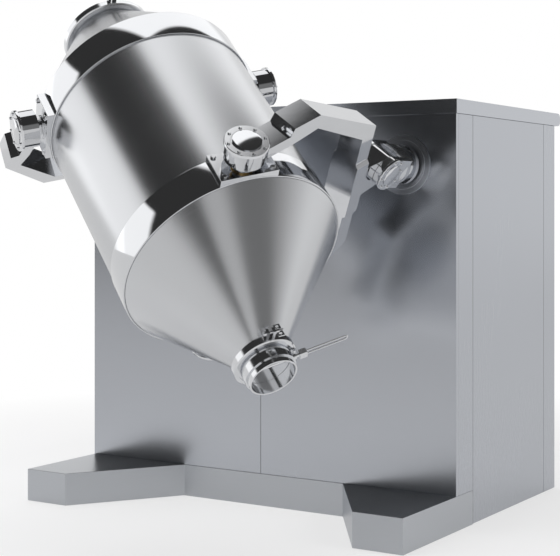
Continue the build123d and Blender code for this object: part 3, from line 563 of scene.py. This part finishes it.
@dataclass
class FastenerCircle:
    """Fastener heads standing on circles or corners, made by one Geometry Nodes tree."""

    name: str
    kind: HeadKind
    radius: float
    height: float
    finish: Finish

    def tree(self) -> bpy.types.NodeTree:
        """Builds the tree: a head on every point of the seat mesh, turned to the point's normal.

        Returns:
            The node tree with inputs for the head's radius and height.
        """
        made = bpy.data.node_groups.new(self.name, "GeometryNodeTree")
        face = made.interface
        face.new_socket("Seats", in_out="INPUT", socket_type="NodeSocketGeometry")
        face.new_socket("Head radius", in_out="INPUT", socket_type="NodeSocketFloat")
        face.new_socket("Head height", in_out="INPUT", socket_type="NodeSocketFloat")
        face.new_socket("Heads", in_out="OUTPUT", socket_type="NodeSocketGeometry")
        graph = Graph(made)
        inlet = graph.node("NodeGroupInput", {}, {})
        seats, radius, height = (Sock(graph, inlet.outputs[i]) for i in range(3))
        body = graph.out("GeometryNodeMeshCylinder", {}, {
            "Vertices": self.kind.value, "Side Segments": 1, "Radius": radius, "Depth": height * 0.7,
        }, "Mesh")
        lifted = graph.out("GeometryNodeTransform", {}, {
            "Geometry": body, "Translation": graph.out("ShaderNodeCombineXYZ", {}, {2: height * 0.35}),
        })
        crown = graph.out("GeometryNodeMeshCone", {}, {
            "Vertices": self.kind.value * (2 if self.kind is HeadKind.HEXAGON else 1), "Side Segments": 1,
            "Radius Top": radius * 0.72, "Radius Bottom": radius * 0.98, "Depth": height * 0.3,
        }, "Mesh")
        raised = graph.out("GeometryNodeTransform", {}, {
            "Geometry": crown, "Translation": graph.out("ShaderNodeCombineXYZ", {}, {2: height * 0.7}),
        })
        head = graph.node("GeometryNodeJoinGeometry", {}, {})
        made.links.new(lifted.socket, head.inputs[0])
        made.links.new(raised.socket, head.inputs[0])
        normal = graph.out("GeometryNodeInputNormal", {}, {})
        turn = graph.out("FunctionNodeAlignRotationToVector", {"axis": "Z"}, {"Vector": normal})
        spread = graph.out("GeometryNodeInstanceOnPoints", {}, {
            "Points": seats, "Instance": Sock(graph, head.outputs[0]), "Rotation": turn,
        })
        whole = graph.out("GeometryNodeRealizeInstances", {}, {"Geometry": spread})
        dressed = graph.out("GeometryNodeSetMaterial", {}, {
            "Geometry": whole, "Material": self.finish.material(),
        })
        graph.node("NodeGroupOutput", {}, {0: dressed})
        return made

    def build(self, seats: Iterable[tuple[Vector, Vector]]) -> bpy.types.Object:
        """Makes the heads as one plain mesh.

        Args:
            seats: Each head's seat point and outward direction.

        Returns:
            A plain mesh object.
        """
        mesh = bpy.data.meshes.new(f"{self.name}_seats")
        form = bmesh.new()
        span = self.radius * 0.01
        for point, outward in seats:
            frame = axis_frame(point, outward, outward.orthogonal())
            corners = [form.verts.new(frame @ Vector((span * math.cos(t), span * math.sin(t), 0)))
                       for t in (0, 2 * math.pi / 3, 4 * math.pi / 3)]
            form.faces.new(corners)
        form.to_mesh(mesh)
        form.free()
        carrier = bpy.data.objects.new(f"{self.name}_carrier", mesh)
        bpy.context.scene.collection.objects.link(carrier)
        made = carrier.modifiers.new("heads", "NODES")
        tree = self.tree()
        face_points = tree.nodes.new("GeometryNodeMeshToPoints")
        face_points.mode = "FACES"
        inlet = next(n for n in tree.nodes if n.bl_idname == "NodeGroupInput")
        spread = next(n for n in tree.nodes if n.bl_idname == "GeometryNodeInstanceOnPoints")
        keep = tree.nodes.new("GeometryNodeCaptureAttribute")
        keep.domain = "FACE"
        keep.capture_items.new("VECTOR", "Facing")
        normal = next(n for n in tree.nodes if n.bl_idname == "GeometryNodeInputNormal")
        align = next(n for n in tree.nodes if n.bl_idname == "FunctionNodeAlignRotationToVector")
        tree.links.new(inlet.outputs[0], keep.inputs[0])
        tree.links.new(normal.outputs[0], keep.inputs[1])
        tree.links.new(keep.outputs[0], face_points.inputs["Mesh"])
        tree.links.new(keep.outputs[1], align.inputs["Vector"])
        tree.links.new(face_points.outputs[0], spread.inputs["Points"])
        made.node_group = tree
        names = {item.name: item.identifier for item in tree.interface.items_tree if item.in_out == "INPUT"}
        made[names["Head radius"]] = self.radius
        made[names["Head height"]] = self.height
        depsgraph = bpy.context.evaluated_depsgraph_get()
        plain = bpy.data.meshes.new_from_object(carrier.evaluated_get(depsgraph))
        bpy.data.objects.remove(carrier)
        plain.name = self.name
        smooth(plain, 40)
        return link(self.name, plain, self.finish)


# Sub-assemblies


@dataclass
class Palette:
    """All finishes of the machine."""

    drum: Finish
    band: Finish
    panel: Finish
    side: Finish
    lid: Finish
    base: Finish
    fork: Finish
    chrome: Finish
    ring: Finish
    bronze: Finish
    frame_paint: Finish
    drive_paint: Finish
    oiled: Finish
    seal: Finish


@dataclass
class Cabinet:
    """Base, panels, lid and the frame and drive inside."""

    shop: Workshop
    palette: Palette
    front: float = -0.508
    shaft_height: float = 1.418
    ring_hole: float = 0.048
    ring_outer: float = 0.117
    ring_step: float = 0.097
    ring_thickness: float = 0.009

    def build(self) -> None:
        """Dresses every fixed piece."""
        p = self.palette
        sheet = {
            "front_panel_left": p.panel, "front_panel_right": p.panel, "front_columns": p.side,
            "side_panel_left": p.side, "side_panel_right": p.side, "rear_columns": p.side,
            "rear_panel": p.side, "top_lid": p.lid, "base_frame": p.base,
        }
        for node, finish in sheet.items():
            self.shop.copy(node, finish, Edge.SHEET if node != "base_frame" else Edge.MACHINED)
        for node, finish in {"bearing_frame": p.frame_paint, "gear_stand": p.frame_paint,
                             "bearing_housings": p.frame_paint, "gear_unit": p.drive_paint,
                             "motor": p.drive_paint, "shaft_bearings": p.oiled}.items():
            self.shop.copy(node, finish, Edge.MACHINED)
        self.shop.copy("door_hinge_pins", p.chrome, Edge.NONE)
        self.shop.copy("drive_chain", p.oiled, Edge.NONE)
        self.rings()

    def rings(self) -> None:
        """The stepped rings round both shafts."""
        form = bmesh.new()
        centres = [Vector(self.shop.joint(name)["pos_m"]) for name in ("drive_turn", "driven_turn")]
        for centre in centres:
            origin = Vector((centre.x, self.front, self.shaft_height))
            frame = axis_frame(origin, Vector((0, -1, 0)), Vector((1, 0, 0)))
            profile = [(0, self.ring_hole), (self.ring_thickness, self.ring_hole),
                       (self.ring_thickness, self.ring_step), (self.ring_thickness - 0.003, self.ring_step),
                       (self.ring_thickness - 0.003, self.ring_outer), (0, self.ring_outer)]
            form.from_mesh(turned("shaft_ring", profile, frame))
        mesh = bpy.data.meshes.new("shaft_rings_turned")
        form.to_mesh(mesh)
        form.free()
        smooth(mesh, 50)
        self.shop.fit(link("shaft_rings_turned", mesh, self.palette.ring), "shaft_rings")


@dataclass
class ServiceDoor:
    """The door in the back."""

    shop: Workshop
    palette: Palette

    def build(self) -> None:
        """Dresses the door and its handle."""
        self.shop.copy("service_door", self.palette.side, Edge.SHEET)
        self.shop.copy("door_handle", self.palette.chrome, Edge.NONE)


@dataclass
class ShaftHead:
    """One shaft with its clevis head, cross pin and bearing caps."""

    shop: Workshop
    palette: Palette
    side: str
    shaft: str
    hinge: str
    cheek_outer: float = 0.072
    cap_radius: float = 0.068
    cap_thickness: float = 0.010
    dome_radius: float = 0.044
    dome_height: float = 0.008
    screws: int = 8

    def build(self) -> None:
        """Dresses the shaft and makes caps and screws."""
        self.shop.copy(self.shaft, self.palette.chrome, Edge.MACHINED)
        self.shop.copy(f"{self.side}_hinge_pin", self.palette.chrome, Edge.NONE)
        joint = self.shop.joint(self.hinge)
        centre, axis = Vector(joint["pos_m"]), Vector(joint["axis"])
        frames = [axis_frame(centre + axis * sign * self.cheek_outer, axis * sign, Vector((0, 1, 0)))
                  for sign in (1, -1)]
        caps = BearingCaps(self.cap_radius, self.cap_thickness, self.dome_radius, self.dome_height, self.screws)
        node = f"{self.side}_hinge_caps"
        self.shop.fit(link(f"{node}_turned", caps.mesh(frames), self.palette.chrome), node)
        node = f"{self.side}_hinge_cap_screws"
        self.shop.fit(caps.screw_heads(f"{node}_made", frames, self.palette.chrome), node)


@dataclass
class BearingCaps:
    """Flanged bearing caps with a crowned centre and a ring of screws."""

    radius: float
    thickness: float
    dome_radius: float
    dome_height: float
    screws: int
    screw_radius: float = 0.0055
    screw_height: float = 0.005

    def profile(self) -> list[tuple[float, float]]:
        """Height and radius of the cap's outline from its back to the crown's middle."""
        top, rim = self.thickness, self.dome_radius
        crown = 0.6 * self.dome_height
        ball = (rim ** 2 + crown ** 2) / (2 * crown)
        points = [(0.0, 0.0), (0.0, self.radius - 0.0006), (0.0006, self.radius), (top - 0.0022, self.radius),
                  (top - 0.001, self.radius - 0.0008), (top, self.radius - 0.002), (top, rim + 0.0036),
                  (top - 0.0006, rim + 0.003), (top - 0.002, rim + 0.003), (top - 0.002, rim),
                  (top + self.dome_height - crown - 0.0008, rim), (top + self.dome_height - crown, rim - 0.0008)]
        for i in range(1, 9):
            radius = (rim - 0.0008) * (1 - i / 8)
            points.append((top + self.dome_height - ball + math.sqrt(ball ** 2 - radius ** 2), radius))
        return points

    def mesh(self, frames: Sequence[Matrix]) -> bpy.types.Mesh:
        """All caps of one group as one mesh."""
        form = bmesh.new()
        for frame in frames:
            rings = [(height, radius, 0.0) for height, radius in self.profile()]
            form.from_mesh(ring_mesh("cap", rings, frame, 96, closed=False))
        mesh = bpy.data.meshes.new("bearing_caps")
        form.to_mesh(mesh)
        form.free()
        smooth(mesh, 35)
        return mesh

    def screw_heads(self, name: str, frames: Sequence[Matrix], finish: Finish) -> bpy.types.Object:
        """The ring of screws on every cap."""
        circle = (self.radius + self.dome_radius + 0.002) / 2
        seats = []
        for frame in frames:
            outward = frame.to_3x3() @ Vector((0, 0, 1))
            for i in range(self.screws):
                turn = math.radians(22.5 + 360 / self.screws * i)
                spot = Vector((circle * math.cos(turn), circle * math.sin(turn), self.thickness))
                seats.append((frame @ spot, outward))
        maker = FastenerCircle(name, HeadKind.ROUND, self.screw_radius, self.screw_height, finish)
        return maker.build(seats)


@dataclass
class Fork:
    """One fork with its bushes, housings, caps and screws."""

    shop: Workshop
    palette: Palette
    side: str
    level: str
    centre: Vector
    trunnion: Vector
    fork: Vector
    housing_end: float = 0.505
    cap_radius: float = 0.076
    cap_thickness: float = 0.012
    dome_radius: float = 0.050
    dome_height: float = 0.008
    screws: int = 8

    def build(self) -> None:
        """Dresses the fork and makes caps and screws."""
        p = self.palette
        self.shop.copy(f"{self.side}_fork", p.fork, Edge.FORGED)
        self.shop.copy(f"{self.side}_hub_bushes", p.bronze, Edge.FINE)
        if self.level == "lower":
            self.shop.copy("lower_trunnion_bushes", p.bronze, Edge.FINE)
        frames = [axis_frame(self.centre + self.trunnion * sign * self.housing_end, self.trunnion * sign, self.fork)
                  for sign in (1, -1)]
        caps = BearingCaps(self.cap_radius, self.cap_thickness, self.dome_radius, self.dome_height, self.screws)
        node = f"{self.level}_trunnion_caps"
        self.shop.fit(link(f"{node}_turned", caps.mesh(frames), p.chrome), node)
        node = f"{self.level}_trunnion_cap_screws"
        self.shop.fit(caps.screw_heads(f"{node}_made", frames, p.chrome), node)


@dataclass
class Drum:
    """The drum with its bands, saddles, clamps, lid and discharge valve."""

    shop: Workshop
    palette: Palette
    frame: Matrix
    length: float = 0.776
    band_radius: float = 0.405
    band_width: float = 0.127
    shell_radius: float = 0.3987
    wall: float = 0.004
    cone_end: float = 0.470
    outlet_radius: float = 0.088
    outlet_offset: float = 0.076
    outlet_neck: float = 0.016
    head_end: float = 1.182
    port_radius: float = 0.162
    port_neck: float = 0.030
    flange: float = 0.008
    port_flange: float = 0.174
    outlet_flange: float = 0.104
    saddle_half: float = 0.105
    saddle_face: float = 0.420
    bolt_inset_x: float = 0.018
    bolt_inset_y: float = 0.016
    bolt_radius: float = 0.0098
    bolt_height: float = 0.007

    def build(self) -> None:
        """Makes the shell and bands, and dresses the rest."""
        p = self.palette
        self.shell()
        for node, centre in (("lower_band", 0.0), ("upper_band", self.length)):
            self.band(node, centre)
        for node in ("lower_trunnions", "upper_trunnions"):
            self.shop.copy(node, p.chrome, Edge.MACHINED)
        self.bolts("lower_trunnion_bolts", 0.0, 0.0)
        self.bolts("upper_trunnion_bolts", self.length, 90.0)
        for node in ("port_gasket", "outlet_gasket"):
            self.shop.copy(node, p.seal, Edge.NONE)
        for node in ("port_clamp", "outlet_clamp", "valve_body", "charging_lid", "valve_disc"):
            self.shop.copy(node, p.chrome, Edge.FINE, 40)
        for node in ("port_clamp_bolt", "outlet_clamp_bolt", "port_wing_nut", "outlet_wing_nut", "valve_handle"):
            self.shop.copy(node, p.chrome, Edge.FINE, 40)

    def shell(self) -> None:
        """Cylinder, head cone, port neck and the eccentric discharge cone, with a wall."""
        low, high = -self.band_width / 2, self.length + self.band_width / 2
        outlet, port = -self.cone_end - self.outlet_neck, self.head_end + self.port_neck
        shift, r, wall = self.outlet_offset, self.shell_radius, self.wall
        soft = 0.006
        outer: list[Ring] = [
            (outlet, self.outlet_flange, shift), (outlet + self.flange, self.outlet_flange, shift),
            (outlet + self.flange, self.outlet_radius, shift), (-self.cone_end, self.outlet_radius, shift),
        ]
        outer += self.slant(-self.cone_end, self.outlet_radius, shift, low, r, 0.0, 12)
        outer += [(low + soft, r, 0.0), (high - soft, r, 0.0)]
        outer += self.slant(high, r, 0.0, self.head_end, self.port_radius, 0.0, 8)
        outer += [(port - self.flange, self.port_radius, 0.0), (port - self.flange, self.port_flange, 0.0),
                  (port, self.port_flange, 0.0)]
        inner = [(height, radius - wall, offset) for height, radius, offset in reversed(outer[3:-3])]
        rings = outer + [(port, self.port_radius - wall, 0.0)] + inner + [(outlet, self.outlet_radius - wall, shift)]
        mesh = ring_mesh("drum_shell_rolled", rings, self.frame, 192)
        smooth(mesh, 24)
        self.shop.fit(link("drum_shell_rolled", mesh, self.palette.drum), "drum_shell")

    @staticmethod
    def slant(z0: float, r0: float, o0: float, z1: float, r1: float, o1: float, count: int) -> list[Ring]:
        """Evenly spaced rings along a cone, ends included."""
        return [(z0 + (z1 - z0) * i / count, r0 + (r1 - r0) * i / count, o0 + (o1 - o0) * i / count)
                for i in range(count + 1)]

    def band(self, node: str, centre: float) -> None:
        """One polished band with rounded edges."""
        low, high = centre - self.band_width / 2, centre + self.band_width / 2
        inner = self.shell_radius + 0.0003
        profile = [(low, inner), (low, self.band_radius), (high, self.band_radius), (high, inner)]
        mesh = turned(f"{node}_rolled", profile, self.frame, 192, 0.0025)
        self.shop.fit(link(f"{node}_rolled", mesh, self.palette.band), node)

    def bolts(self, node: str, centre: float, angle: float) -> None:
        """The saddle bolts of one pair of trunnions."""
        x, y = self.saddle_half - self.bolt_inset_x, self.band_width / 2 - self.bolt_inset_y
        seats = []
        for turn in (angle, angle + 180):
            out = Vector((math.cos(math.radians(turn)), math.sin(math.radians(turn)), 0))
            side = Vector((-out.y, out.x, 0))
            for sx in (-1, 1):
                for sy in (-1, 1):
                    spot = out * self.saddle_face + side * sx * x + Vector((0, 0, centre + sy * y))
                    seats.append((self.frame @ spot, self.frame.to_3x3() @ out))
        maker = FastenerCircle(f"{node}_made", HeadKind.HEXAGON, self.bolt_radius, self.bolt_height,
                               self.palette.chrome)
        self.shop.fit(maker.build(seats), node)


@dataclass
class Drive:
    """Sprockets and the gear unit's output shaft."""

    shop: Workshop
    palette: Palette

    def build(self) -> None:
        """Dresses the turning drive pieces."""
        for node in ("large_sprocket", "small_sprocket", "gear_output_shaft"):
            self.shop.copy(node, self.palette.oiled, Edge.FINE)


# Studio


@dataclass
class Studio:
    """Floor, light and camera."""

    camera_place: tuple[float, float, float] = (3.2520, -5.4757, 1.2480)
    yaw: float = 32.43
    lens: float = 91.006
    shift: float = -0.1251

    def build(self) -> None:
        """Sets up the whole studio."""
        self.camera()
        self.floor()
        self.world()
        self.lamp("key_box", (-3.2, -5.0, 4.6), (-0.2, -0.9, 1.0), (3.6, 2.6), 170)
        self.lamp("side_box", (4.4, -0.6, 2.6), (0.4, -0.4, 0.9), (2.0, 3.0), 60)
        self.lamp("top_box", (0.0, -0.6, 5.2), (0.0, -0.8, 0.9), (3.0, 3.0), 110)

    def camera(self) -> None:
        """The photograph's viewing angle."""
        data = bpy.data.cameras.new("camera")
        data.lens, data.sensor_width, data.shift_y = self.lens, 36.0, self.shift
        data.clip_end = 100
        made = bpy.data.objects.new("camera", data)
        made.location = self.camera_place
        made.rotation_euler = (math.radians(90), 0, math.radians(self.yaw))
        bpy.context.scene.collection.objects.link(made)
        bpy.context.scene.camera = made

    def floor(self) -> None:
        """A plain pale floor that shows white to the camera and keeps a soft shadow."""
        mesh = bpy.data.meshes.new("floor")
        size = 30.0
        mesh.from_pydata([(-size, -size, -0.001), (size, -size, -0.001), (size, size, -0.001),
                          (-size, size, -0.001)], [], [(0, 1, 2, 3)])
        material = bpy.data.materials.new("pale_floor")
        material.use_nodes = True
        graph = Graph(material.node_tree)
        path = graph.node("ShaderNodeLightPath", {}, {})
        camera, glossy, through = (Sock(graph, path.outputs[name])
                                   for name in ("Is Camera Ray", "Is Glossy Ray", "Is Transmission Ray"))
        spot = graph.place()
        distance = graph.out("ShaderNodeVectorMath", {"operation": "LENGTH"}, {0: spot}, "Value")
        far = distance.above(2.6, 0.9)
        seen = (camera + glossy + through).clamped()
        matte = graph.out("ShaderNodeBsdfDiffuse", {}, {"Color": (0.86, 0.86, 0.87, 1)}, "BSDF")
        strength = camera * 1.0 + (1 - camera) * 0.72
        white = graph.out("ShaderNodeEmission", {}, {"Color": (1, 1, 1, 1), "Strength": strength})
        mixed = graph.out("ShaderNodeMixShader", {}, {0: seen * (0.62 + 0.38 * far), 1: matte, 2: white})
        graph.node("ShaderNodeOutputMaterial", {}, {"Surface": mixed})
        mesh.materials.append(material)
        made = bpy.data.objects.new("floor", mesh)
        bpy.context.scene.collection.objects.link(made)

    def world(self) -> None:
        """White for the camera; for everything else a dim room with a pale backdrop and soft boxes."""
        world = bpy.data.worlds.new("studio")
        bpy.context.scene.world = world
        world.use_nodes = True
        graph = Graph(world.node_tree)
        camera = graph.out("ShaderNodeLightPath", {}, {}, "Is Camera Ray")
        facing = graph.out("ShaderNodeTexCoord", {}, {}, "Generated")
        yaw = math.radians(self.yaw)
        right = graph.along(facing, (math.cos(yaw), math.sin(yaw), 0.0))
        away = graph.along(facing, (-math.sin(yaw), math.cos(yaw), 0.0))
        turn = graph.out("ShaderNodeMath", {"operation": "ARCTAN2"}, {0: right, 1: away}) / (2 * math.pi)
        height = graph.part(facing, "Z")
        rise = height.clamped() + 0.001
        over_x, over_y = graph.part(facing, "X") / rise, graph.part(facing, "Y") / rise
        high = height.above(0.45, 0.06)
        ceiling = high * over_x.above(-0.75, 0.06) * (1 - over_x.above(0.11, 0.02)) * over_y.above(-0.18, 0.03)
        backdrop = (1 - high) * turn.above(-0.165, 0.02) * (1 - turn.above(0.27, 0.06))
        left_box = (1 - height.above(0.47, 0.015)) * turn.above(-0.268, 0.006) * (1 - turn.above(-0.150, 0.02))
        rear_box = (1 - height.above(0.40, 0.05)) * (turn.above(0.44, 0.02) + 0.3 * turn.above(0.27, 0.06)).clamped()
        level = (0.035 + 1.15 * ceiling + 0.80 * backdrop + 1.10 * left_box + 0.55 * rear_box)
        final = camera + (1 - camera) * level
        tint = graph.out("ShaderNodeCombineColor", {}, {0: final, 1: final, 2: final})
        background = graph.out("ShaderNodeBackground", {}, {"Color": tint, "Strength": 1.0})
        graph.node("ShaderNodeOutputWorld", {}, {"Surface": background})

    @staticmethod
    def lamp(name: str, place: Sequence[float], target: Sequence[float], size: tuple[float, float],
             power: float) -> None:
        """One soft box that looks at a target."""
        data = bpy.data.lights.new(name, "AREA")
        data.shape, data.size, data.size_y, data.energy = "RECTANGLE", size[0], size[1], power
        made = bpy.data.objects.new(name, data)
        made.location = place
        aim = Vector(target) - Vector(place)
        made.rotation_euler = aim.to_track_quat("-Z", "Y").to_euler()
        made.visible_glossy = False
        bpy.context.scene.collection.objects.link(made)


def palette(frame: Matrix) -> Palette:
    """All finishes, with the drum's painted reflection streaks set by the drum's own frame."""
    origin = tuple(frame.translation)
    side, up, axis = (tuple(frame.to_3x3().col[i]) for i in range(3))
    where = {"origin": origin, "side": side, "up": up, "axis": axis}
    # even stops: the painted reflection streaks on drum and bands stay flat
    even = ((0.0, 1.0), (1.0, 1.0))
    seam_y = (-0.355, 0.380)
    return Palette(
        drum=AxialSteel("satin_drum_steel", (0.72, 0.73, 0.75), 0.24, stops=even, **where),
        band=AxialSteel("mirror_band_steel", (0.80, 0.81, 0.83), 0.07, stops=even, brush=0.02, **where),
        panel=SheetSteel("semi_mirror_front_sheet", (0.56, 0.58, 0.62), 0.24, lines_x=(0.0,)),
        side=SheetSteel("semi_mirror_side_sheet", (0.56, 0.58, 0.62), 0.26, lines_y=seam_y),
        lid=SheetSteel("lid_sheet", (0.60, 0.62, 0.66), 0.24, grain=(9, 900, 900)),
        base=SheetSteel("brushed_base_sheet", (0.58, 0.60, 0.63), 0.3, grain=(9, 900, 900)),
        fork=PolishedSteel("mirror_fork_steel", (0.72, 0.73, 0.75), 0.03),
        chrome=PolishedSteel("bright_turned_steel", (0.82, 0.83, 0.85), 0.08),
        ring=SheetSteel("matte_ring_steel", (0.56, 0.58, 0.62), 0.34),
        bronze=PolishedSteel("machined_bronze", (0.55, 0.36, 0.14), 0.25),
        frame_paint=Painted("grey_frame_paint", (0.11, 0.12, 0.13), 0.5),
        drive_paint=Painted("blue_grey_drive_paint", (0.05, 0.09, 0.14), 0.4),
        oiled=PolishedSteel("oiled_dark_steel", (0.16, 0.16, 0.17), 0.32),
        seal=Rubber("pale_seal_rubber", (0.70, 0.69, 0.65), 0.6),
    )


def main() -> None:
    """Builds the machine's sub-assemblies in order, then the studio."""
    logging.basicConfig(level=logging.INFO, format="%(message)s")
    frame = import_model()
    shop = Workshop(frame)
    trunnion, lift = shop.joint("lower_trunnion"), shop.joint("charging_lid_lift")
    lower, axis, side = Vector(trunnion["pos_m"]), Vector(lift["axis"]), Vector(trunnion["axis"])
    drum_frame = axis_frame(lower, axis, side)
    drum = Drum(shop, palette(drum_frame), drum_frame)
    finishes = drum.palette
    upper = drum_frame @ Vector((0, 0, drum.length))
    upper_axis = -(drum_frame.to_3x3() @ Vector((0, 1, 0)))
    right_hinge, left_hinge = (Vector(shop.joint(name)["pos_m"]) for name in ("right_hinge", "left_hinge"))
    Cabinet(shop, finishes).build()
    ServiceDoor(shop, finishes).build()
    Drive(shop, finishes).build()
    ShaftHead(shop, finishes, "right", "drive_shaft", "right_hinge").build()
    ShaftHead(shop, finishes, "left", "driven_shaft", "left_hinge").build()
    Fork(shop, finishes, "right", "lower", lower, side, (lower - right_hinge).normalized()).build()
    Fork(shop, finishes, "left", "upper", upper, upper_axis, (upper - left_hinge).normalized()).build()
    drum.build()
    Studio().build()
    bpy.context.scene.view_settings.view_transform = "Standard"


if __name__ == "__main__":
    main()
